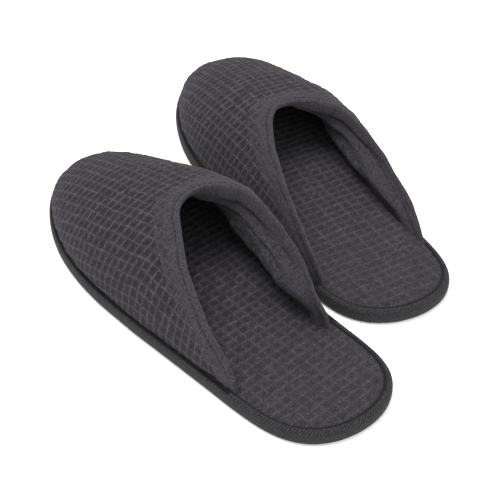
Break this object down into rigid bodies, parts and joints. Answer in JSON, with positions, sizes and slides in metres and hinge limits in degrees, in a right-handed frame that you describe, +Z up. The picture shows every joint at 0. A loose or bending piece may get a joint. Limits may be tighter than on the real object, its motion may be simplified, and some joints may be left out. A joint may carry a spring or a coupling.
{
  "type": "spa slippers",
  "caption": "Closed-toe, backless spa slippers with padded waffle-cloth uppers, hemmed openings and flat layered soles edged in twill tape.",
  "frame": {"origin": "middle of the pair's bounding box, on the floor", "axes": "+Z up, +Y toward the toes, +X from the left slipper to the right one"},
  "size_m": [0.225, 0.327, 0.0642],
  "materials": {
    "outsole_eva": "matte",
    "midsole_foam": "matte foam",
    "pad_sponge": "matte sponge",
    "insole_waffle": "matte waffle weave",
    "binding_tape": "matte twill tape",
    "thread": "matte thread",
    "brushed_lining": "matte brushed",
    "upper_sponge": "matte sponge",
    "upper_waffle": "matte waffle weave",
    "hem_cloth": "matte"
  },
  "bodies": {
    "left_slipper": {"left_outsole": "outsole_eva", "left_midsole": "midsole_foam", "left_insole_pad": "pad_sponge", "left_insole_cover": "insole_waffle", "left_edge_binding": "binding_tape", "left_binding_stitch": "thread", "left_upper_lining": "brushed_lining", "left_upper_sponge": "upper_sponge", "left_upper_waffle": "upper_waffle", "left_rim_hem": "hem_cloth", "left_rim_stitch": "thread"},
    "right_slipper": {"right_outsole": "outsole_eva", "right_midsole": "midsole_foam", "right_insole_pad": "pad_sponge", "right_insole_cover": "insole_waffle", "right_edge_binding": "binding_tape", "right_binding_stitch": "thread", "right_upper_lining": "brushed_lining", "right_upper_sponge": "upper_sponge", "right_upper_waffle": "upper_waffle", "right_rim_hem": "hem_cloth", "right_rim_stitch": "thread"}
  },
  "joints": [
    {"name": "right_slipper_lift", "type": "slide", "parent": "left_slipper", "child": "right_slipper", "axis": [0, 0, 1], "range_m": [0, 0.12]}
  ]
}
